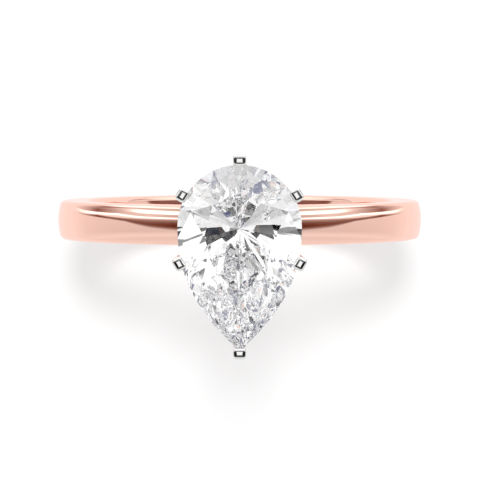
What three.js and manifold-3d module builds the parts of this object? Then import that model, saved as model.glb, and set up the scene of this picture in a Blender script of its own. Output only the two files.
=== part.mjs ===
// Engagement ring: a plain rose gold band with a white gold claw head that
// holds one pear brilliant diamond.
//
// Millimetres, +Z up through the stone, finger hole along Y, the stone's point
// towards -Y. The origin is the centre of the finger hole.

import * as THREE from "three";
import { mergeVertices } from "three/addons/utils/BufferGeometryUtils.js";
import Module from "manifold-3d";

const wasm = await Module();
wasm.setup();

// Driving dimensions, millimetres and degrees.
const FINGER_DIAMETER = 17.3;
const BAND_THICKNESS = 1.8;
const BAND_WIDTH = 2.2;
const BAND_DOME_RADIUS = 3.5;
const BAND_OUTER_FILLET = 0.3;
const BAND_INNER_FILLET = 0.25;

const STONE_HALF_WIDTH = 3.36;
const STONE_POINT = 6.6; // culet to point
const STONE_ROUND_CENTRE = 0.12; // culet to the centre of the round end
const STONE_POINT_HALF_ANGLE = 47;
const FLANK_HANDLES = [2.68, 3.26]; // how far each end's direction holds along the flank
const GIRDLE_Z = 15.4;
const GIRDLE_THICKNESS = 0.24;
const CROWN_HEIGHT = 1.0;
const PAVILION_DEPTH = 2.9;
const TABLE_SHARE = 0.57;
const STAR_SHARE = 0.45;
const LOWER_HALF_SHARE = 0.77;

// Where the girdle stations lie on one side: 0 to 1 down the arc of the round
// end, 1 to 2 down the flank. Even ones carry the main facets, odd ones part
// the girdle halves.
const CROWN_PLACES = [0, 0.27, 0.54, 0.82, 1.08, 1.26, 1.46, 1.68, 2];
const PAVILION_MAINS = 22;
const PAVILION_PLACES = Array.from({ length: PAVILION_MAINS + 1 }, (_, i) => (2 * i) / PAVILION_MAINS);

const CLAW_WIDTH = 0.74;
const CLAW_DEPTH = 0.62;
const CLAW_ROUNDING = 0.2;
const CLAW_HEIGHT = 0.78; // above the girdle plane
const CLAW_UPRIGHT = 0.75; // straight length below the girdle plane
const CLAW_FOOT_SHARE = 0.4; // foot radius over tip radius

const UPPER_RAIL = { share: 0.77, z: 13.5, wire: 0.7, pointRadius: 0.55 };
const LOWER_RAIL = { share: 0.42, z: 11.35, wire: 0.8, pointRadius: 0.55 };
const BASE = { share: 0.35, bottom: 9.9, top: 11.6, pointRadius: 0.5, rounding: 0.15 };
const PEG_DIAMETER = 1.2;
const PEG_TOP = 11.3;

const GAP = 0.015; // film of solder, or setting clearance, between neighbours

// Fineness of the curves.
const BAND_SEGMENTS = 72;
const PEG_SEGMENTS = 24;
const ROUND_STEPS = 2;
const OUTLINE_STEPS = 8;
const CLAW_STEPS = 8;

// Each claw: compass direction from the culet in degrees, and culet to tip.
const CLAWS = [
  { name: "claw_round_end", direction: 90, reach: 3.74 },
  { name: "claw_upper_left", direction: 149, reach: 3.6 },
  { name: "claw_upper_right", direction: 31, reach: 3.6 },
  { name: "claw_lower_left", direction: 209.5, reach: 3.76 },
  { name: "claw_lower_right", direction: 330.5, reach: 3.76 },
  { name: "claw_point", direction: 270, reach: 6.7 },
];

const bandInner = FINGER_DIAMETER / 2;
const bandOuter = bandInner + BAND_THICKNESS;
const crownBase = GIRDLE_Z + GIRDLE_THICKNESS / 2;
const pavilionTop = GIRDLE_Z - GIRDLE_THICKNESS / 2;
const radians = THREE.MathUtils.degToRad;

// ---- materials ----

function metal(color, roughness) {
  return new THREE.MeshStandardMaterial({ color, roughness, metalness: 1 });
}

const roseGold = metal(0xe8b7a2, 0.08);
const whiteGold = metal(0xdcdcda, 0.1);
const diamond = new THREE.MeshStandardMaterial({ color: 0xf2f4f8, roughness: 0.02, metalness: 0 });

// ---- solids ----

function toSolid(geometry) {
  const bare = geometry.clone();
  bare.deleteAttribute("normal");
  bare.deleteAttribute("uv");
  const merged = mergeVertices(bare, 1e-5);
  return new wasm.Manifold(
    new wasm.Mesh({
      numProp: 3,
      vertProperties: new Float32Array(merged.attributes.position.array),
      triVerts: new Uint32Array(merged.index.array),
    }),
  );
}

function toMesh(name, solid, material) {
  const { vertProperties, triVerts } = solid.getMesh();
  const geometry = new THREE.BufferGeometry();
  geometry.setAttribute("position", new THREE.BufferAttribute(vertProperties, 3));
  geometry.setIndex(new THREE.BufferAttribute(triVerts, 1));
  geometry.computeVertexNormals();
  const mesh = new THREE.Mesh(geometry, material);
  mesh.name = name;
  return mesh;
}

// Keeps the side of a plane that its normal points away from.
function keepBehind(solid, normal, point) {
  const n = normal.clone().normalize();
  return solid.trimByPlane([-n.x, -n.y, -n.z], -n.dot(point));
}

function upright(radius, bottom, top) {
  const geometry = new THREE.CylinderGeometry(radius, radius, top - bottom, PEG_SEGMENTS);
  geometry.rotateX(Math.PI / 2);
  geometry.translate(0, 0, (top + bottom) / 2);
  return toSolid(geometry);
}

// ---- the pear outline, seen from above with the culet at (0, 0) ----

// The round end is an arc. Each flank is one Bezier curve down to the point,
// which is sharp on the stone and bent to a small radius in wire.
function pearOutline(share, pointRadius = 0) {
  const halfWidth = STONE_HALF_WIDTH * share;
  const shoulderY = STONE_ROUND_CENTRE * share;
  const slope = radians(STONE_POINT_HALF_ANGLE);
  const bendCentreY = -STONE_POINT * share + pointRadius / Math.sin(slope);
  const endX = pointRadius * Math.cos(slope);
  const endY = bendCentreY - pointRadius * Math.sin(slope);
  const [shoulderHandle, pointHandle] = FLANK_HANDLES.map((length) => length * share);
  const shoulderControlY = shoulderY - shoulderHandle;
  const pointControlX = endX + pointHandle * Math.sin(slope);
  const pointControlY = endY + pointHandle * Math.cos(slope);

  const outline = new THREE.Shape();
  outline.absarc(0, shoulderY, halfWidth, 0, Math.PI, false);
  outline.bezierCurveTo(
    -halfWidth, shoulderControlY, -pointControlX, pointControlY, -endX, endY,
  );
  if (pointRadius > 0) {
    outline.absarc(0, bendCentreY, pointRadius, Math.PI + slope, 2 * Math.PI - slope, false);
  }
  outline.bezierCurveTo(
    pointControlX, pointControlY, halfWidth, shoulderControlY, halfWidth, shoulderY,
  );
  return outline;
}

// ---- band ----

// Cross-section of the band, x along the radius and y along the finger: domed
// outside, flat at the sides, with the inner edges eased for comfort.
function bandProfile(grow = 0) {
  const half = BAND_WIDTH / 2 + grow;
  const outerFillet = BAND_OUTER_FILLET + grow;
  const innerFillet = BAND_INNER_FILLET + grow;
  const inner = bandInner - grow;
  const domeRadius = BAND_DOME_RADIUS + grow;
  const domeCentre = bandOuter - BAND_DOME_RADIUS;
  const filletY = half - outerFillet;
  const filletX = domeCentre + Math.sqrt((domeRadius - outerFillet) ** 2 - filletY ** 2);
  const domeEnd = Math.atan2(filletY, filletX - domeCentre);
  const innerX = inner + innerFillet;
  const innerY = half - innerFillet;

  const profile = new THREE.Path();
  profile.absarc(domeCentre, 0, domeRadius, -domeEnd, domeEnd, false);
  profile.absarc(filletX, filletY, outerFillet, domeEnd, Math.PI / 2, false);
  profile.absarc(innerX, innerY, innerFillet, Math.PI / 2, Math.PI, false);
  profile.absarc(innerX, -innerY, innerFillet, Math.PI, 1.5 * Math.PI, false);
  profile.absarc(filletX, -filletY, outerFillet, 1.5 * Math.PI, 2 * Math.PI - domeEnd, false);
  profile.closePath();
  return profile.getPoints(ROUND_STEPS);
}

function shank() {
  const band = toSolid(new THREE.LatheGeometry(bandProfile(), BAND_SEGMENTS));
  const pegHole = upright(PEG_DIAMETER / 2 + GAP, bandInner - 1, bandOuter + 1);
  return band.subtract(pegHole);
}

function fingerBore() {
  const reach = BAND_WIDTH;
  const bore = new THREE.CylinderGeometry(bandInner, bandInner, 2 * reach, BAND_SEGMENTS);
  return toSolid(bore);
}

// ---- head ----

function headPeg() {
  return upright(PEG_DIAMETER / 2, bandInner - 1, PEG_TOP).subtract(fingerBore());
}

function headBase() {
  const flat = BASE.top - BASE.bottom - 2 * BASE.rounding;
  const block = new THREE.ExtrudeGeometry(pearOutline(BASE.share, BASE.pointRadius), {
    depth: flat,
    curveSegments: OUTLINE_STEPS,
    bevelThickness: BASE.rounding,
    bevelSize: BASE.rounding,
    bevelOffset: -BASE.rounding,
    bevelSegments: ROUND_STEPS,
  });
  block.translate(0, 0, BASE.bottom + BASE.rounding);
  const saddle = toSolid(new THREE.LatheGeometry(bandProfile(GAP), BAND_SEGMENTS));
  const socket = upright(PEG_DIAMETER / 2 + GAP, BASE.bottom - 1, PEG_TOP + GAP);
  return toSolid(block).subtract(saddle).subtract(socket).subtract(rail(LOWER_RAIL, GAP));
}

// A closed ring of round wire that follows the pear. Its section is two half
// rounds, top and bottom, with a narrow flat between them.
function rail({ share, z, wire, pointRadius }, grow = 0) {
  const flat = wire / 7;
  const rounding = (wire - flat) / 2 + grow;
  const spread = flat / 2 / STONE_HALF_WIDTH;
  const ring = pearOutline(share + spread, pointRadius);
  ring.holes.push(pearOutline(share - spread, pointRadius));
  const geometry = new THREE.ExtrudeGeometry(ring, {
    depth: flat,
    curveSegments: OUTLINE_STEPS,
    bevelThickness: rounding,
    bevelSize: rounding,
    bevelSegments: ROUND_STEPS,
  });
  geometry.translate(0, 0, z - flat / 2);
  return toSolid(geometry);
}

// A rail with a notch filed at each claw, which is soldered into it.
function notchedRail(dimensions) {
  return CLAWS.reduce(
    (wire, claw) => wire.subtract(clawWire(claw, GAP)),
    rail(dimensions),
  );
}

function clawSection(grow) {
  const x = CLAW_WIDTH / 2 + grow;
  const y = CLAW_DEPTH / 2 + grow;
  const r = CLAW_ROUNDING;
  const section = new THREE.Shape();
  section.absarc(x - r, y - r, r, 0, Math.PI / 2, false);
  section.absarc(r - x, y - r, r, Math.PI / 2, Math.PI, false);
  section.absarc(r - x, r - y, r, Math.PI, 1.5 * Math.PI, false);
  section.absarc(x - r, r - y, r, 1.5 * Math.PI, 2 * Math.PI, false);
  return section;
}

// The wire leaves the foot, leans out to the girdle and stands upright there.
function clawPath(reach) {
  const foot = new THREE.Vector3(reach * CLAW_FOOT_SHARE, 0, LOWER_RAIL.z - LOWER_RAIL.wire);
  const knee = new THREE.Vector3(reach, 0, GIRDLE_Z - 2 * CLAW_UPRIGHT);
  const bend = new THREE.Vector3(reach, 0, GIRDLE_Z - CLAW_UPRIGHT);
  const shoulder = new THREE.Vector3(reach, 0, GIRDLE_Z);
  const path = new THREE.CurvePath();
  path.add(new THREE.QuadraticBezierCurve3(foot, knee, bend));
  path.add(new THREE.LineCurve3(bend, shoulder));
  return path;
}

function clawWire({ direction, reach }, grow = 0) {
  const wire = new THREE.ExtrudeGeometry(clawSection(grow), {
    steps: CLAW_STEPS,
    curveSegments: 1,
    extrudePath: clawPath(reach),
  });
  wire.rotateZ(radians(direction));
  return toSolid(wire);
}

// The bent-over tip, a rounded button that bears on the crown.
function clawTip({ direction, reach }) {
  const button = new THREE.ExtrudeGeometry(clawSection(0), {
    depth: CLAW_HEIGHT + CLAW_UPRIGHT / 2 - 2 * CLAW_ROUNDING,
    curveSegments: ROUND_STEPS,
    bevelThickness: CLAW_ROUNDING,
    bevelSize: CLAW_ROUNDING - 0.01,
    bevelOffset: 0.01 - CLAW_ROUNDING,
    bevelSegments: ROUND_STEPS,
  });
  button.rotateZ(Math.PI / 2);
  button.translate(reach, 0, GIRDLE_Z - CLAW_UPRIGHT / 2 + CLAW_ROUNDING);
  button.rotateZ(radians(direction));
  return toSolid(button);
}

function claw(dimensions) {
  const footLevel = new THREE.Vector3(0, 0, LOWER_RAIL.z - LOWER_RAIL.wire / 2);
  const bar = clawWire(dimensions).add(clawTip(dimensions)).subtract(pearStone(GAP));
  return keepBehind(bar, new THREE.Vector3(0, 0, -1), footLevel);
}

// ---- stone ----

// The girdle stations, in order round the outline from the middle of the round
// end, each with the outward direction there.
function girdleStations(places) {
  const [roundEnd, leftFlank] = pearOutline(1).curves;
  const left = places.map((place) => {
    const curve = place <= 1 ? roundEnd : leftFlank;
    const t = place <= 1 ? 0.5 + place / 2 : place - 1;
    const along = curve.getTangent(t);
    return { point: curve.getPoint(t), normal: new THREE.Vector2(along.y, -along.x) };
  });
  left.at(-1).normal.set(0, -1);
  const mirrored = left.slice(1, -1).reverse().map(({ point, normal }) => ({
    point: new THREE.Vector2(-point.x, point.y),
    normal: new THREE.Vector2(-normal.x, normal.y),
  }));
  return [...left, ...mirrored];
}

// Where two sloping main facets cross, at a level given as a share of the way
// from the girdle to the table or the culet.
function mainsCrossing(a, b, share) {
  const reachOf = (main) => main.normal.dot(main.point) - share * main.run;
  const determinant = a.normal.cross(b.normal);
  const x = (reachOf(a) * b.normal.y - reachOf(b) * a.normal.y) / determinant;
  const y = (reachOf(b) * a.normal.x - reachOf(a) * b.normal.x) / determinant;
  return new THREE.Vector2(x, y);
}

function planeThrough(a, b, c, outward) {
  const normal = b.clone().sub(a).cross(c.clone().sub(a)).normalize();
  if (normal.dot(outward) < 0) normal.negate();
  return { normal, point: a };
}

const atLevel = (p, z) => new THREE.Vector3(p.x, p.y, z);

// The facets of one side of the girdle: mains, and two halves per pair of
// mains that meet on the crossing line, plus the star facets on the crown.
function facets(levels) {
  const { places, girdle, apex, apexShare, meetShare, stars } = levels;
  const stations = girdleStations(places);
  const rise = apex - girdle;
  const mains = stations.filter((_, i) => i % 2 === 0).map(({ point, normal }) => {
    const inner = point.clone().multiplyScalar(apexShare);
    return { point, normal, inner, run: normal.dot(point) - normal.dot(inner) };
  });
  const planes = mains.map(({ point, normal, run }) => ({
    normal: new THREE.Vector3(
      normal.x * Math.abs(rise),
      normal.y * Math.abs(rise),
      run * Math.sign(rise),
    ),
    point: atLevel(point, girdle),
  }));
  mains.forEach((main, i) => {
    const next = mains[(i + 1) % mains.length];
    const between = stations[2 * i + 1].point;
    const crossing = mainsCrossing(main, next, meetShare);
    const meet = atLevel(crossing, girdle + rise * meetShare);
    const outward = new THREE.Vector3(between.x, between.y, Math.sign(rise));
    const middle = atLevel(between, girdle);
    planes.push(planeThrough(atLevel(main.point, girdle), middle, meet, outward));
    planes.push(planeThrough(middle, atLevel(next.point, girdle), meet, outward));
    if (stars) {
      planes.push(planeThrough(atLevel(main.inner, apex), atLevel(next.inner, apex), meet, outward));
    }
  });
  return planes;
}

// The stone as its girdle prism with every facet cut from it. A grown stone
// is the seat that is cut in the claws.
function pearStone(grow = 0) {
  const table = crownBase + CROWN_HEIGHT;
  const culet = pavilionTop - PAVILION_DEPTH;
  const prism = new THREE.ExtrudeGeometry(pearOutline(1 + grow / STONE_HALF_WIDTH), {
    depth: table - culet + 2 * grow,
    curveSegments: OUTLINE_STEPS,
    bevelEnabled: false,
  });
  prism.translate(0, 0, culet - grow);
  const crown = facets({
    places: CROWN_PLACES,
    girdle: crownBase,
    apex: table,
    apexShare: TABLE_SHARE,
    meetShare: 1 - STAR_SHARE,
    stars: true,
  });
  const pavilion = facets({
    places: PAVILION_PLACES,
    girdle: pavilionTop,
    apex: culet,
    apexShare: 0,
    meetShare: LOWER_HALF_SHARE,
    stars: false,
  });
  return [...crown, ...pavilion].reduce((stone, { normal, point }) => {
    const outward = normal.clone().normalize();
    return keepBehind(stone, outward, point.clone().addScaledVector(outward, grow));
  }, toSolid(prism));
}

// ---- assembly ----

const ring = new THREE.Group();
ring.add(
  toMesh("shank", shank(), roseGold),
  toMesh("head_peg", headPeg(), whiteGold),
  toMesh("head_base", headBase(), whiteGold),
  toMesh("lower_gallery_rail", notchedRail(LOWER_RAIL), whiteGold),
  toMesh("upper_gallery_rail", notchedRail(UPPER_RAIL), whiteGold),
  ...CLAWS.map((dimensions) => toMesh(dimensions.name, claw(dimensions), whiteGold)),
  toMesh("pear_diamond", pearStone(), diamond),
);

export default ring;
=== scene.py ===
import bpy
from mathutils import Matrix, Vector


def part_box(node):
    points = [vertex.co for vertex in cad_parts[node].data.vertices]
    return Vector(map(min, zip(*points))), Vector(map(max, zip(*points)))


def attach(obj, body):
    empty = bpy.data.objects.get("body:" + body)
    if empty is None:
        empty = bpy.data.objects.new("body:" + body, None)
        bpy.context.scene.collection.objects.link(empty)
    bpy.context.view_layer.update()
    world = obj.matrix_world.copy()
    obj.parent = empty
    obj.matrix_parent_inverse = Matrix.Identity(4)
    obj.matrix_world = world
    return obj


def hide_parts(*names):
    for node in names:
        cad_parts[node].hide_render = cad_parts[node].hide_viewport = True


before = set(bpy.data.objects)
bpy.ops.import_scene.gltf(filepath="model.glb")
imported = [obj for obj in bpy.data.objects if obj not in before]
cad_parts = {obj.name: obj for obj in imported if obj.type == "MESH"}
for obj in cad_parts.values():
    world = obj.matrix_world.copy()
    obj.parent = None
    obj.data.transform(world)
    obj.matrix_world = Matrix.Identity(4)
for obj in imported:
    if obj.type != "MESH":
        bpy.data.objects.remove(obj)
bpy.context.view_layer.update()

import math

import bmesh
import bpy
from mathutils import Vector

# ---------------------------------------------------------------- band
# The band is a hoop of 14 carat rose gold, drawn as comfort-fit wire, bent,
# soldered and polished. It is domed outside, flat at the sides, and its inner
# edges are eased so that it slips over a knuckle.

MM = 0.001
shank_low, shank_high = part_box("shank")
band_outer = shank_high.x
band_half_width = shank_high.y
band_thickness = 1.8 * MM
band_inner = band_outer - band_thickness
dome_radius = 3.5 * MM
outer_fillet = 0.3 * MM
inner_fillet = 0.25 * MM


def arc(centre, radius, start, end, steps):
    """Points along an arc in a plane, from the start angle to the end angle."""
    return [
        (
            centre[0] + radius * math.cos(start + (end - start) * i / steps),
            centre[1] + radius * math.sin(start + (end - start) * i / steps),
        )
        for i in range(steps + 1)
    ]


def band_profile():
    """The band's section: radius from the finger's axis, and place along it."""
    dome_centre = band_outer - dome_radius
    fillet_y = band_half_width - outer_fillet
    fillet_x = dome_centre + math.sqrt((dome_radius - outer_fillet) ** 2 - fillet_y**2)
    dome_end = math.atan2(fillet_y, fillet_x - dome_centre)
    inner_x = band_inner + inner_fillet
    inner_y = band_half_width - inner_fillet
    quarter = math.pi / 2
    profile = arc((dome_centre, 0), dome_radius, -dome_end, dome_end, 28)
    profile += arc((fillet_x, fillet_y), outer_fillet, dome_end, quarter, 14)[1:]
    profile += arc((inner_x, inner_y), inner_fillet, quarter, 2 * quarter, 8)
    profile += arc((inner_x, -inner_y), inner_fillet, 2 * quarter, 3 * quarter, 8)
    profile += arc((fillet_x, -fillet_y), outer_fillet, 3 * quarter, 4 * quarter - dome_end, 14)[:-1]
    return profile


def grid_mesh(rings, close_rings):
    """A smooth mesh through rings of points, each ring a closed loop."""
    mesh = bmesh.new()
    loops = [[mesh.verts.new(point) for point in ring] for ring in rings]
    count = len(loops[0])
    pairs = list(zip(loops, loops[1:] + loops[:1])) if close_rings else list(zip(loops, loops[1:]))
    for near, far in pairs:
        for i in range(count):
            j = (i + 1) % count
            mesh.faces.new((near[i], near[j], far[j], far[i]))
    if not close_rings:
        mesh.faces.new(reversed(loops[0]))
        mesh.faces.new(loops[-1])
    bmesh.ops.recalc_face_normals(mesh, faces=mesh.faces)
    return mesh


def add_piece(name, mesh, crease_degrees=40):
    """Links a bmesh as an object, smooth but for edges sharper than the crease."""
    crease = math.radians(crease_degrees)
    for face in mesh.faces:
        face.smooth = True
    for edge in mesh.edges:
        if len(edge.link_faces) == 2 and edge.calc_face_angle() > crease:
            edge.smooth = False
    data = bpy.data.meshes.new(name)
    mesh.to_mesh(data)
    mesh.free()
    piece = bpy.data.objects.new(name, data)
    bpy.context.scene.collection.objects.link(piece)
    return piece


def linear(hex_colour):
    """An sRGB hex colour as the linear colour that a shader works in."""
    channels = [int(hex_colour[i : i + 2], 16) / 255 for i in (1, 3, 5)]
    return tuple(
        c / 12.92 if c <= 0.04045 else ((c + 0.055) / 1.055) ** 2.4 for c in channels
    ) + (1.0,)


def add_node(tree, kind, links=(), **settings):
    """Adds a node. A setting named in_X is a value or socket for input X, any other is the node's."""
    made = tree.nodes.new(kind)
    for name, value in settings.items():
        if name.startswith("in_"):
            key = name[3:]
            key = int(key) if key.isdigit() else key.replace("_", " ")
            if isinstance(value, bpy.types.NodeSocket):
                tree.links.new(value, made.inputs[key])
            else:
                made.inputs[key].default_value = value
        else:
            setattr(made, name, value)
    for output, name in links:
        tree.links.new(output, made.inputs[name])
    return made


def polished_metal(name, colour, roughness, haze, scratch_mm):
    """A buffed metal: a mirror whose polish varies a little, with hairline wear."""
    material = bpy.data.materials.new(name)
    material.use_nodes = True
    tree = material.node_tree
    shader = tree.nodes["Principled BSDF"]
    shader.inputs["Base Color"].default_value = linear(colour)
    shader.inputs["Metallic"].default_value = 1.0
    place = add_node(tree, "ShaderNodeTexCoord").outputs["Object"]
    cloud = add_node(
        tree, "ShaderNodeTexNoise", [(place, "Vector")], in_Scale=1 / (2.5 * MM), in_Detail=3.0
    )
    polish = add_node(
        tree,
        "ShaderNodeMapRange",
        [(cloud.outputs["Fac"], "Value")],
        in_3=roughness,
        in_4=roughness + haze,
    )
    tree.links.new(polish.outputs["Result"], shader.inputs["Roughness"])
    hairlines = add_node(
        tree, "ShaderNodeTexNoise", [(place, "Vector")], in_Scale=1 / (scratch_mm * MM), in_Detail=2.0
    )
    bump = add_node(
        tree,
        "ShaderNodeBump",
        [(hairlines.outputs["Fac"], "Height")],
        in_Strength=0.02,
        in_Distance=0.002 * MM,
    )
    tree.links.new(bump.outputs["Normal"], shader.inputs["Normal"])
    return material


# Rose gold, buffed to a mirror: warm pink where it mirrors white, deep copper
# brown where it mirrors the dark.
rose_gold = polished_metal("rose_gold_buffed", "#F3D7C9", 0.02, 0.015, 0.12)
rose_shader = rose_gold.node_tree.nodes["Principled BSDF"]
rose_shader.inputs["Sheen Weight"].default_value = 0.3
rose_shader.inputs["Sheen Roughness"].default_value = 1.0
rose_shader.inputs["Sheen Tint"].default_value = linear("#FF6A36")

ROUND_STEPS = 360
profile = band_profile()
hoop = [
    [
        (r * math.sin(2 * math.pi * i / ROUND_STEPS), y, r * math.cos(2 * math.pi * i / ROUND_STEPS))
        for r, y in profile
    ]
    for i in range(ROUND_STEPS)
]
band = add_piece("band", grid_mesh(hoop, close_rings=True))
band.data.materials.append(rose_gold)
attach(band, "root")
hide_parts("shank")

# ---------------------------------------------------------------- pear
# The stone, the rails and the base all follow one pear: an arc for the round
# end and a Bezier curve for each flank, sharp at the stone's point and bent to
# a small radius in wire.

stone_low, stone_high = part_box("pear_diamond")
stone_half_width = stone_high.x
stone_point = -stone_low.y
round_centre = 0.12 * MM
point_half_angle = math.radians(47)
flank_handles = (2.68 * MM, 3.26 * MM)


def bezier(a, b, c, d, t):
    """A point on a cubic Bezier curve, and its unit tangent."""
    s = 1 - t
    point = a * s**3 + b * (3 * s * s * t) + c * (3 * s * t * t) + d * t**3
    along = (b - a) * (s * s) + (c - b) * (2 * s * t) + (d - c) * (t * t)
    return point, along.normalized()


def pear(share, bend=0.0):
    """The pear scaled by share: its shoulder, controls and end on the right flank, and its bend centre."""
    sine, cosine = math.sin(point_half_angle), math.cos(point_half_angle)
    bend_centre = Vector((0, -stone_point * share + bend / sine))
    end = Vector((bend * cosine, bend_centre.y - bend * sine))
    shoulder = Vector((stone_half_width * share, round_centre * share))
    return {
        "shoulder": shoulder,
        "shoulder_control": shoulder - Vector((0, flank_handles[0] * share)),
        "end_control": end + Vector((sine, cosine)) * flank_handles[1] * share,
        "end": end,
        "bend": bend,
        "bend_centre": bend_centre,
    }


def pear_flank(shape, t):
    """A point and tangent on the right flank, from shoulder to point."""
    return bezier(shape["shoulder"], shape["shoulder_control"], shape["end_control"], shape["end"], t)


def pear_loop(share, bend=0.0, fineness=40):
    """The whole pear as (point, outward normal) pairs, counter-clockwise from the right shoulder."""
    shape = pear(share, bend)
    radius = shape["shoulder"].x
    loop = []
    for i in range(2 * fineness):
        angle = math.pi * i / (2 * fineness)
        out = Vector((math.cos(angle), math.sin(angle)))
        loop.append((Vector((0, shape["shoulder"].y)) + out * radius, out))
    flank = [pear_flank(shape, i / fineness) for i in range(fineness + 1)]
    for point, along in flank[:-1] if bend else flank:
        loop.append((Vector((-point.x, point.y)), Vector((along.y, along.x))))
    if bend:
        start = math.pi + point_half_angle
        sweep = math.pi - 2 * point_half_angle
        for i in range(fineness // 2 + 1):
            angle = start + sweep * i / (fineness // 2)
            out = Vector((math.cos(angle), math.sin(angle)))
            loop.append((shape["bend_centre"] + out * bend, out))
    for point, along in reversed(flank[1:-1]):
        loop.append((point, Vector((-along.y, along.x))))
    return loop


# ---------------------------------------------------------------- gallery rails
# Two pears of round white gold wire, bent to shape and soldered inside the
# claws. The upper one keeps the claws apart, and the lower one stands on the
# base.

white_gold = polished_metal("white_gold_rhodium_plated", "#E4E4E3", 0.025, 0.015, 0.1)

RAIL_STEPS = 24
upper_rail_share, upper_rail_bend = 0.77, 0.55 * MM
lower_rail_share, lower_rail_bend = 0.42, 0.55 * MM


def wire_rail(name, node, share, bend):
    """One pear of round wire, at the height and gauge of its node's box."""
    low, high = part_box(node)
    radius = (high.z - low.z) / 2
    level = (high.z + low.z) / 2
    rings = []
    for point, out in pear_loop(share, bend):
        ring = []
        for i in range(RAIL_STEPS):
            angle = 2 * math.pi * i / RAIL_STEPS
            side = out * (radius * math.cos(angle))
            ring.append((point.x + side.x, point.y + side.y, level + radius * math.sin(angle)))
        rings.append(ring)
    piece = add_piece(name, grid_mesh(rings, close_rings=True))
    piece.data.materials.append(white_gold)
    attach(piece, "root")
    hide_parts(node)
    return piece


wire_rail("upper_rail", "upper_gallery_rail", upper_rail_share, upper_rail_bend)
wire_rail("lower_rail", "lower_gallery_rail", lower_rail_share, lower_rail_bend)

# ---------------------------------------------------------------- base and peg
# The base is a small pear of white gold, filed to sit astride the band. The
# peg goes down from it through the band, and is dressed flush inside.

base_low, base_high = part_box("head_base")
base_share, base_bend = 0.35, 0.5 * MM
base_edge = 0.15 * MM


def rounded_block(share, bend, bottom, top, edge):
    """A pear block with its top and bottom edges rounded over."""
    levels = arc((0, bottom + edge), edge, -math.pi / 2, 0, 6)
    levels += arc((0, top - edge), edge, 0, math.pi / 2, 6)
    rings = []
    for inset, level in levels:
        rings.append(
            [
                (
                    point.x - out.x * (edge - inset),
                    point.y - out.y * (edge - inset),
                    level,
                )
                for point, out in pear_loop(share, bend, 24)
            ]
        )
    return grid_mesh(rings, close_rings=False)


base = add_piece("base", rounded_block(base_share, base_bend, base_low.z, base_high.z, base_edge))
base.data.materials.append(white_gold)
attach(base, "root")
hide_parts("head_base")

PEG_STEPS = 48
peg_low, peg_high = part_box("head_peg")
peg_radius = peg_high.x
peg_proud = 0.004 * MM


def peg_end(x):
    """The height of the band's inner face above a point x to one side."""
    return math.sqrt((band_inner - peg_proud) ** 2 - x * x)


peg_rings = []
for share in (0.0, 0.3, 0.6, 0.85, 1.0):
    peg_rings.append(
        [
            (
                peg_radius * share * math.cos(2 * math.pi * i / PEG_STEPS) if share else 0.0,
                peg_radius * share * math.sin(2 * math.pi * i / PEG_STEPS) if share else 0.0,
                peg_end(peg_radius * share * math.cos(2 * math.pi * i / PEG_STEPS)),
            )
            for i in range(PEG_STEPS)
        ]
    )
peg_rings.append([(x, y, peg_high.z) for x, y, z in peg_rings[-1]])
peg_mesh = grid_mesh(peg_rings, close_rings=False)
bmesh.ops.remove_doubles(peg_mesh, verts=peg_mesh.verts, dist=1e-7)
peg = add_piece("peg", peg_mesh)
peg.data.materials.append(white_gold)
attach(peg, "root")
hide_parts("head_peg")

# ---------------------------------------------------------------- diamond
# One modified pear brilliant: a table, eight bezels, eight stars and sixteen
# upper halves above the girdle, twenty-two mains and forty-four lower halves
# below it. The facets are tilted a little, and more than a cutter would let
# them be, so that the flashes break up.

girdle_level = 15.4 * MM
girdle_thickness = 0.24 * MM
table_share = 0.57
star_share = 0.45
lower_half_share = 0.77
CROWN_PLACES = (0, 0.27, 0.54, 0.82, 1.08, 1.26, 1.46, 1.68, 2)
PAVILION_PLACES = tuple(i / 11 for i in range(23))
crown_lean, crown_twist = math.radians(0.25), 0.0
pavilion_lean, pavilion_twist = math.radians(0.45), math.radians(5)


def girdle_stations(places):
    """Places round the girdle with their outward normals: 0 to 1 on the round end, 1 to 2 down the flank."""
    shape = pear(1.0)
    left = []
    for place in places:
        if place <= 1:
            angle = math.pi / 2 * (1 + place)
            out = Vector((math.cos(angle), math.sin(angle)))
            left.append((Vector((0, shape["shoulder"].y)) + out * shape["shoulder"].x, out))
        elif place < 2:
            point, along = pear_flank(shape, place - 1)
            left.append((Vector((-point.x, point.y)), Vector((along.y, along.x))))
    left.append((Vector((0, -stone_point)), Vector((0, -1))))
    right = [
        (Vector((-point.x, point.y)), Vector((-out.x, out.y))) for point, out in reversed(left[1:-1])
    ]
    return left + right


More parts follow.
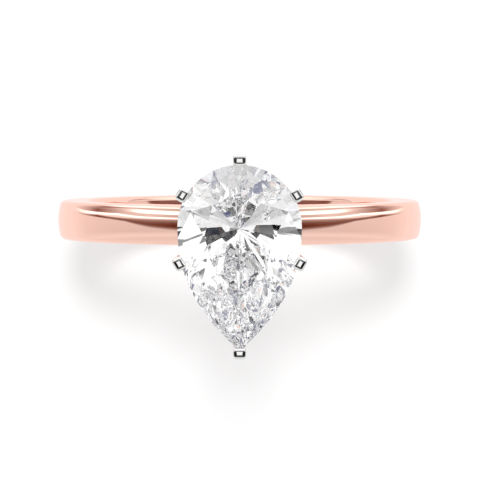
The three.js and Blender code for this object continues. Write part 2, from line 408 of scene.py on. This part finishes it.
def facet_planes(base, apex, apex_share, meet_share, places, stars):
    """The facets on one side of the girdle, as (point, outward normal) pairs."""
    rise = apex - base
    up = math.copysign(1, rise)
    stations = girdle_stations(places)
    count = len(places) - 1
    mains = []
    for point, out in stations[::2]:
        inner = point * apex_share
        mains.append((point, out, inner, out.dot(point - inner)))
    planes = [
        (Vector((p.x, p.y, base)), Vector((out.x * abs(rise), out.y * abs(rise), run * up)))
        for p, out, inner, run in mains
    ]

    def through(a, b, c, outward):
        normal = (b - a).cross(c - a)
        return a, normal if normal.dot(outward) > 0 else -normal

    for i, (point, out, inner, run) in enumerate(mains):
        next_point, next_out, next_inner, next_run = mains[(i + 1) % count]
        middle = stations[2 * i + 1][0]
        reach = out.dot(point) - meet_share * run
        next_reach = next_out.dot(next_point) - meet_share * next_run
        span = out.x * next_out.y - out.y * next_out.x
        meet = Vector(
            (
                (reach * next_out.y - next_reach * out.y) / span,
                (next_reach * out.x - reach * next_out.x) / span,
                base + rise * meet_share,
            )
        )
        outward = Vector((middle.x, middle.y, up * stone_half_width))
        a, b, c = (Vector((p.x, p.y, base)) for p in (point, middle, next_point))
        planes.append(through(a, b, meet, outward))
        planes.append(through(b, c, meet, outward))
        if stars:
            d, e = (Vector((p.x, p.y, apex)) for p in (inner, next_inner))
            planes.append(through(d, e, meet, outward))
    return planes


def wobble(normal, number, lean, twist):
    """A facet's normal leant either way, and twisted about the facet's line of fall."""
    turn = 2.399963 * number
    side = Vector((math.cos(turn), math.sin(turn), 0)).cross(normal).normalized()
    along = Vector((0, 0, 1)).cross(normal).normalized()
    leant = normal.normalized() + side * lean * math.sin(37.7 * number + 1.3)
    return leant + along * twist * math.sin(53.1 * number + 0.7)


def cut_stone(fineness, grow=0.0):
    """The stone as a pear prism with every facet ground from it."""
    culet, table = stone_low.z, stone_high.z
    loop = [point for point, out in pear_loop(1 + grow / stone_half_width, 0.0, fineness)]
    rings = [[(p.x, p.y, level) for p in loop] for level in (culet - grow, table + grow)]
    stone = grid_mesh(rings, close_rings=False)
    crown_base = girdle_level + girdle_thickness / 2
    pavilion_top = girdle_level - girdle_thickness / 2
    planes = facet_planes(crown_base, table, table_share, 1 - star_share, CROWN_PLACES, True)
    planes = [(point, wobble(normal, i, crown_lean, crown_twist)) for i, (point, normal) in enumerate(planes)]
    lower = facet_planes(pavilion_top, culet, 0.0, lower_half_share, PAVILION_PLACES, False)
    culet_point = Vector((0, 0, culet))
    for i, (point, normal) in enumerate(lower):
        turned = wobble(normal, i + 90, pavilion_lean, pavilion_twist)
        cuts_culet = turned.dot(culet_point - point) > 0
        planes.append((culet_point if cuts_culet else point, turned))
    for point, normal in planes:
        out = normal.normalized()
        cut = bmesh.ops.bisect_plane(
            stone,
            geom=stone.verts[:] + stone.edges[:] + stone.faces[:],
            dist=1e-8,
            plane_co=point + out * grow,
            plane_no=out,
            clear_outer=True,
        )
        edges = [e for e in cut["geom_cut"] if isinstance(e, bmesh.types.BMEdge)]
        if edges:
            bmesh.ops.holes_fill(stone, edges=edges)
    bmesh.ops.remove_doubles(stone, verts=stone.verts, dist=2e-7)
    bmesh.ops.recalc_face_normals(stone, faces=stone.faces)
    return stone


diamond_material = bpy.data.materials.new("diamond_polished")
diamond_material.use_nodes = True
diamond_shader = diamond_material.node_tree.nodes["Principled BSDF"]
diamond_shader.inputs["Base Color"].default_value = linear("#FFFFFF")
diamond_shader.inputs["Transmission Weight"].default_value = 1.0
diamond_shader.inputs["Roughness"].default_value = 0.0
diamond_shader.inputs["IOR"].default_value = 2.417

diamond = add_piece("diamond", cut_stone(48), crease_degrees=3)
diamond.data.materials.append(diamond_material)
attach(diamond, "root")
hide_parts("pear_diamond")
# The stone is left out of the shadow, so that the card under the head stays light.
diamond.visible_shadow = False

# ---------------------------------------------------------------- claws
# Six claws of square white gold wire, rounded at the corners. Each leaves the
# lower rail, leans out past the upper one, stands up at the girdle and is
# pressed over it, and its tip is filed to a small cushion.

claw_width = 0.74 * MM
claw_depth = 0.62 * MM
claw_corner = 0.2 * MM
claw_upright = 0.75 * MM
claw_foot_share = 0.4
claw_edge_radius = 0.12 * MM
claw_dome_radius = 2.0 * MM
claw_dome_slope = math.radians(5.5)
CLAW_BEND_STEPS = 28
CLAW_SPARE = 0.4 * MM
SEAT_CLEARANCE = 0.004 * MM


def claw_section(inset):
    """The wire's section, as (across, outward) pairs, drawn in by inset."""
    half_width, half_depth = claw_width / 2 - inset, claw_depth / 2 - inset
    corner = max(claw_corner - inset, 0.3 * half_depth)
    section = []
    for i, (x, y) in enumerate(((1, 1), (-1, 1), (-1, -1), (1, -1))):
        centre = (x * (half_width - corner), y * (half_depth - corner))
        section += arc(centre, corner, math.pi / 2 * i, math.pi / 2 * (i + 1), 5)
    return section


def claw_tip_profile():
    """The filed tip, as (inset, drop) pairs: a round edge, a shallow dome and a flat."""
    slope = claw_dome_slope
    edge_end = claw_edge_radius * (1 - math.sin(slope))
    dome_drop = claw_dome_radius * (1 - math.cos(slope))
    edge_drop = claw_edge_radius * (1 - math.cos(slope))
    profile = []
    for i in range(11):
        angle = math.pi / 2 + (slope - math.pi / 2) * i / 10
        inset = claw_edge_radius * (1 - math.sin(angle))
        profile.append((inset, dome_drop - edge_drop + claw_edge_radius * (1 - math.cos(angle))))
    for i in range(1, 7):
        angle = slope * (1 - i / 6)
        inset = edge_end + claw_dome_radius * (math.sin(slope) - math.sin(angle))
        profile.append((inset, claw_dome_radius * (1 - math.cos(angle))))
    return profile


def claw_mesh(node):
    """The bent wire from below its foot to its filed tip, before the seat is cut."""
    low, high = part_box(node)
    direction, reach = claw_places[node]
    out = Vector((math.cos(math.radians(direction)), math.sin(math.radians(direction)), 0))
    across = Vector((-out.y, out.x, 0))
    up = Vector((0, 0, 1))
    foot = out * (reach * claw_foot_share) + up * (low.z - CLAW_SPARE)
    knee = out * reach + up * (girdle_level - 2 * claw_upright)
    bend = out * reach + up * (girdle_level - claw_upright)
    rings = []

    def add_ring(centre, outward, inset=0.0):
        rings.append([centre + across * a + outward * b for a, b in claw_section(inset)])

    for i in range(CLAW_BEND_STEPS + 1):
        t = i / CLAW_BEND_STEPS
        centre = foot * (1 - t) ** 2 + knee * (2 * t * (1 - t)) + bend * t**2
        along = ((knee - foot) * (1 - t) + (bend - knee) * t).normalized()
        add_ring(centre, across.cross(along))
    for level in (girdle_level - 0.3 * MM, girdle_level, girdle_level + 0.3 * MM):
        add_ring(out * reach + up * level, across.cross(up))
    for inset, drop in claw_tip_profile():
        add_ring(out * reach + up * (high.z - drop), across.cross(up), inset)
    return grid_mesh(rings, close_rings=False)


claw_places = {
    "claw_round_end": (90, 3.74 * MM),
    "claw_upper_left": (149, 3.6 * MM),
    "claw_upper_right": (31, 3.6 * MM),
    "claw_lower_left": (209.5, 3.76 * MM),
    "claw_lower_right": (330.5, 3.76 * MM),
    "claw_point": (270, 6.7 * MM),
}

seat_tool = add_piece("seat_tool", cut_stone(24, SEAT_CLEARANCE))
for node in claw_places:
    blank = add_piece(node.replace("claw_", "claw_tip_"), claw_mesh(node))
    seat = blank.modifiers.new("seat", "BOOLEAN")
    seat.operation = "DIFFERENCE"
    seat.object = seat_tool
    seat.solver = "EXACT"
    cut_mesh = bmesh.new()
    cut_mesh.from_mesh(blank.evaluated_get(bpy.context.evaluated_depsgraph_get()).to_mesh())
    cut = bmesh.ops.bisect_plane(
        cut_mesh,
        geom=cut_mesh.verts[:] + cut_mesh.edges[:] + cut_mesh.faces[:],
        plane_co=(0, 0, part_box(node)[0].z),
        plane_no=(0, 0, -1),
        clear_outer=True,
    )
    edges = [e for e in cut["geom_cut"] if isinstance(e, bmesh.types.BMEdge)]
    bmesh.ops.holes_fill(cut_mesh, edges=edges)
    bpy.data.objects.remove(blank)
    claw = add_piece(node.replace("claw_", "prong_"), cut_mesh, crease_degrees=30)
    claw.data.materials.append(white_gold)
    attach(claw, "root")
    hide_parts(node)
bpy.data.objects.remove(seat_tool)

# ---------------------------------------------------------------- floor
# A round white matt card under the ring.

floor_radius = 27 * MM
floor_mesh = bmesh.new()
bmesh.ops.create_circle(floor_mesh, cap_ends=True, segments=128, radius=floor_radius)
floor = add_piece("floor", floor_mesh)
floor.location = (0, 0, shank_low.z)
card = bpy.data.materials.new("white_card_matt")
card.use_nodes = True
card_shader = card.node_tree.nodes["Principled BSDF"]
card_shader.inputs["Base Color"].default_value = linear("#B8B8B8")
card_shader.inputs["Roughness"].default_value = 0.9
card_shader.inputs["Specular IOR Level"].default_value = 0.0
card_shader.inputs["Emission Color"].default_value = linear("#FFFFFF")
card_shader.inputs["Emission Strength"].default_value = 0.5
floor.data.materials.append(card)

# ---------------------------------------------------------------- light
# A white tent stands round the ring, under a wide lamp that throws the soft
# shadow. A dark slot is left open in the tent at the level of the lens, from
# side to side, and above it hang bright panels with duller seams between them.
# A white card is fixed round the lens.

world = bpy.data.worlds.new("light_tent")
bpy.context.scene.world = world
world.use_nodes = True
tent = world.node_tree
background = tent.nodes["Background"]


def calc(kind, *items):
    """The result of one sum on numbers or sockets."""
    inputs = {f"in_{i}": item for i, item in enumerate(items)}
    return add_node(tent, "ShaderNodeMath", operation=kind, **inputs).outputs[0]


def soft_step(x, low, high):
    """Nought below low, one above high, smooth between."""
    step = add_node(
        tent,
        "ShaderNodeMapRange",
        interpolation_type="SMOOTHSTEP",
        in_Value=x,
        in_From_Min=low,
        in_From_Max=high,
    )
    return step.outputs["Result"]


def curve(x, stops):
    """Straight lines through (x, y) stops, level beyond the first and the last."""
    low, high = stops[0][0], stops[-1][0]
    bottom = min(y for _, y in stops)
    top = max(y for _, y in stops)
    where = add_node(tent, "ShaderNodeMapRange", [(x, "Value")], in_1=low, in_2=high)
    made = add_node(tent, "ShaderNodeValToRGB", [(where.outputs["Result"], "Fac")])
    elements = made.color_ramp.elements
    while len(elements) < len(stops):
        elements.new(0.5)
    for element, (place, y) in zip(elements, stops):
        element.position = (place - low) / (high - low)
        element.color = ((y - bottom) / (top - bottom),) * 3 + (1,)
    return calc("MULTIPLY_ADD", made.outputs["Color"], top - bottom, bottom)


def blend(share, under, over):
    """A mix of two numbers or sockets."""
    return add_node(tent, "ShaderNodeMix", in_Factor=share, in_A=under, in_B=over).outputs["Result"]


def strip(under, x, low, high, edge, level):
    """Lays a strip of the given level from low to high over what is under it."""
    past_low = soft_step(x, low - edge, low + edge)
    before_high = soft_step(x, high + edge, high - edge)
    inside = calc("MULTIPLY", past_low, before_high)
    return blend(inside, under, level)


direction = add_node(tent, "ShaderNodeTexCoord").outputs["Generated"]
split = add_node(tent, "ShaderNodeSeparateXYZ", [(direction, "Vector")])
dx, dy, dz = (split.outputs[i] for i in range(3))

# The cloth on the point's side, and the panels and seams on the round end's.
table = curve(
    dy,
    [(-1.0, 0.95), (-0.55, 0.95), (-0.4, 0.86), (-0.31, 1.0), (-0.21, 0.78), (-0.1, 0.8), (0.0, 0.83)],
)
high_dy = calc("SUBTRACT", dy, curve(dz, [(-0.5, -0.02), (-0.25, 0.0), (0.1, 0.03), (0.4, 0.0), (0.8, 0.0)]))
panels = 1.1
panels = strip(panels, high_dy, 0.15, 0.19, 0.012, 2.2)
panels = strip(
    panels,
    high_dy,
    0.19,
    0.275,
    0.008,
    curve(dz, [(-0.45, 0.5), (-0.24, 0.12), (-0.03, 0.42), (0.2, 0.8), (0.5, 0.87), (0.75, 0.6)]),
)
panels = strip(
    panels, high_dy, 0.275, 0.37, 0.01, curve(dz, [(-0.2, 0.3), (-0.04, 0.5), (0.18, 1.0), (0.35, 2.2)])
)
panels = strip(
    panels,
    high_dy,
    0.38,
    0.67,
    0.03,
    curve(dz, [(-0.5, 0.55), (-0.28, 0.1), (-0.11, 0.34), (0.04, 0.7), (0.5, 0.76), (0.64, 0.66)]),
)
panels = strip(panels, high_dy, 0.68, 0.86, 0.03, 2.0)

# The dark slot between them.
slot_low = curve(
    dz,
    [(-0.43, 0.1), (-0.21, 0.095), (0.0, 0.08), (0.22, 0.05), (0.53, -0.085), (0.75, -0.15), (1.0, -0.235)],
)
slot_high = curve(dz, [(-0.43, 0.12), (-0.21, 0.14), (0.0, 0.13), (0.22, 0.12), (0.53, 0.12), (1.0, 0.135)])
across_slot = calc("DIVIDE", calc("SUBTRACT", dy, slot_low), calc("SUBTRACT", slot_high, slot_low))
slot_depth = curve(dz, [(-0.6, 0.0), (-0.43, 0.6), (-0.21, 1.0), (0.0, 0.85), (0.5, 0.94), (0.75, 1.0)])
slot_light = curve(
    across_slot,
    [(-0.2, 1.0), (0.0, 0.42), (0.1, 0.14), (0.3, 0.0), (0.65, 0.06), (0.9, 0.25), (1.0, 0.45), (1.12, 1.0)],
)
shade = calc("SUBTRACT", 1.0, calc("MULTIPLY", slot_depth, calc("SUBTRACT", 1.0, slot_light)))
table = blend(curve(dz, [(-0.6, 1.0), (-0.42, 0.55), (-0.2, 0.3), (0.0, 0.15), (0.3, 0.0)]), table, 1.04)
panels = blend(curve(dz, [(-0.75, 1.0), (-0.6, 0.8), (-0.45, 0.25), (-0.3, 0.0)]), panels, 1.0)
cloth = blend(soft_step(across_slot, 0.45, 0.55), table, panels)
tent_light = calc("MULTIPLY", cloth, shade)

# The white card round the lens.
card_x = calc("POWER", calc("DIVIDE", dx, 0.08), 2.0)
card_y = calc("POWER", calc("DIVIDE", calc("ADD", dy, 0.04), 0.08), 2.0)
off_card = soft_step(calc("ADD", card_x, card_y), 0.8, 1.2)
on_card = calc("MULTIPLY", calc("SUBTRACT", 1.0, off_card), soft_step(dz, 0.0, 0.1))
tent_light = blend(on_card, tent_light, 1.2)

# The stone gathers its light from a plainer tent: grey-white cloth, darker and
# with lavender folds below the ring, black at the slot and round the lens. The
# folds stand in for the fire of the stone, which has no dispersion here.
rays = add_node(tent, "ShaderNodeLightPath").outputs
GEM_SLOT = [(-0.005, 1.0), (0.01, 0.0), (0.32, 0.0), (0.335, 1.0)]
LENS_SHADE = 0.1
LENS_SHADE_EDGE = 0.04
LENS_PLACE = (0, -0.04, 1)
FOLD_SCALE = 42.0
FOLD_LOW, FOLD_HIGH = 0.42, 0.47
FOLD_COLOUR = "#6870A8"
gem_cloth = curve(
    dy, [(-1.0, 0.5), (-0.6, 0.8), (-0.35, 1.08), (-0.1, 1.25), (0.0, 1.35), (0.3, 1.4), (1.0, 1.2)]
)
gem_cloth = calc("MULTIPLY", gem_cloth, curve(dz, [(-0.2, 0.42), (0.15, 1.0)]))
gem_shade = blend(soft_step(dz, -0.5, -0.4), 1.0, curve(dy, GEM_SLOT))
from_lens = add_node(tent, "ShaderNodeVectorMath", [(direction, 0)], operation="DISTANCE", in_1=LENS_PLACE)
lens_shade = curve(from_lens.outputs["Value"], [(LENS_SHADE, 0.06), (LENS_SHADE + LENS_SHADE_EDGE, 1.0)])
gem_shade = calc("MULTIPLY", gem_shade, lens_shade)
folds = add_node(tent, "ShaderNodeTexNoise", [(direction, "Vector")], in_Scale=FOLD_SCALE, in_Detail=1.0)
fold_share = soft_step(folds.outputs["Fac"], FOLD_LOW, FOLD_HIGH)
fold_share = calc("MULTIPLY", fold_share, soft_step(dz, 0.12, -0.08))
gem_tint = add_node(tent, "ShaderNodeMix", [(fold_share, "Factor")], data_type="RGBA")
gem_tint.inputs[6].default_value = (1.0, 1.0, 1.0, 1)
gem_tint.inputs[7].default_value = linear(FOLD_COLOUR)
gem_scale = calc("MULTIPLY", gem_cloth, gem_shade)
gem_light = add_node(tent, "ShaderNodeVectorMath", [(gem_tint.outputs[2], 0)], operation="SCALE")
tent.links.new(gem_scale, gem_light.inputs["Scale"])
tent_colour = add_node(
    tent, "ShaderNodeMix", [(rays["Is Singular Ray"], "Factor"), (tent_light, 6)], data_type="RGBA"
)
tent.links.new(gem_light.outputs[0], tent_colour.inputs[7])
tent_light = tent_colour.outputs[2]

# Plain white behind the ring, and an even light on the card beneath it.
for flag, level in (("Is Diffuse Ray", 0.65), ("Is Camera Ray", 1.0)):
    plain = add_node(tent, "ShaderNodeMix", [(rays[flag], "Factor"), (tent_light, 6)], data_type="RGBA")
    plain.inputs[7].default_value = (level, level, level, 1)
    tent_light = plain.outputs[2]
tent.links.new(tent_light, background.inputs["Color"])
background.inputs["Strength"].default_value = 1.0

lamp_data = bpy.data.lights.new("overhead_lamp", "SUN")
lamp_data.energy = 1.8
lamp_data.angle = math.radians(12)
lamp = bpy.data.objects.new("overhead_lamp", lamp_data)
lamp.rotation_euler = (math.radians(-17.5), 0, 0)
lamp.visible_glossy = False
lamp.visible_transmission = False
bpy.context.scene.collection.objects.link(lamp)

# ---------------------------------------------------------------- camera
# A long lens over the stone, a little to the round end's side.

camera_distance = 244 * MM
camera_offset = 8.6 * MM
camera_tilt = math.radians(2.3)
camera_data = bpy.data.cameras.new("camera")
camera_data.sensor_width = 36
camera_data.lens = 317.7
camera_data.clip_start = 0.01
camera_data.clip_end = 20
camera = bpy.data.objects.new("camera", camera_data)
camera.location = (0.02 * MM, camera_offset, camera_distance)
camera.rotation_euler = (-camera_tilt, 0, 0)
bpy.context.scene.collection.objects.link(camera)
bpy.context.scene.camera = camera

scene = bpy.context.scene
scene.view_settings.view_transform = "Standard"
scene.cycles.max_bounces = 128
scene.cycles.transmission_bounces = 128
scene.cycles.glossy_bounces = 128
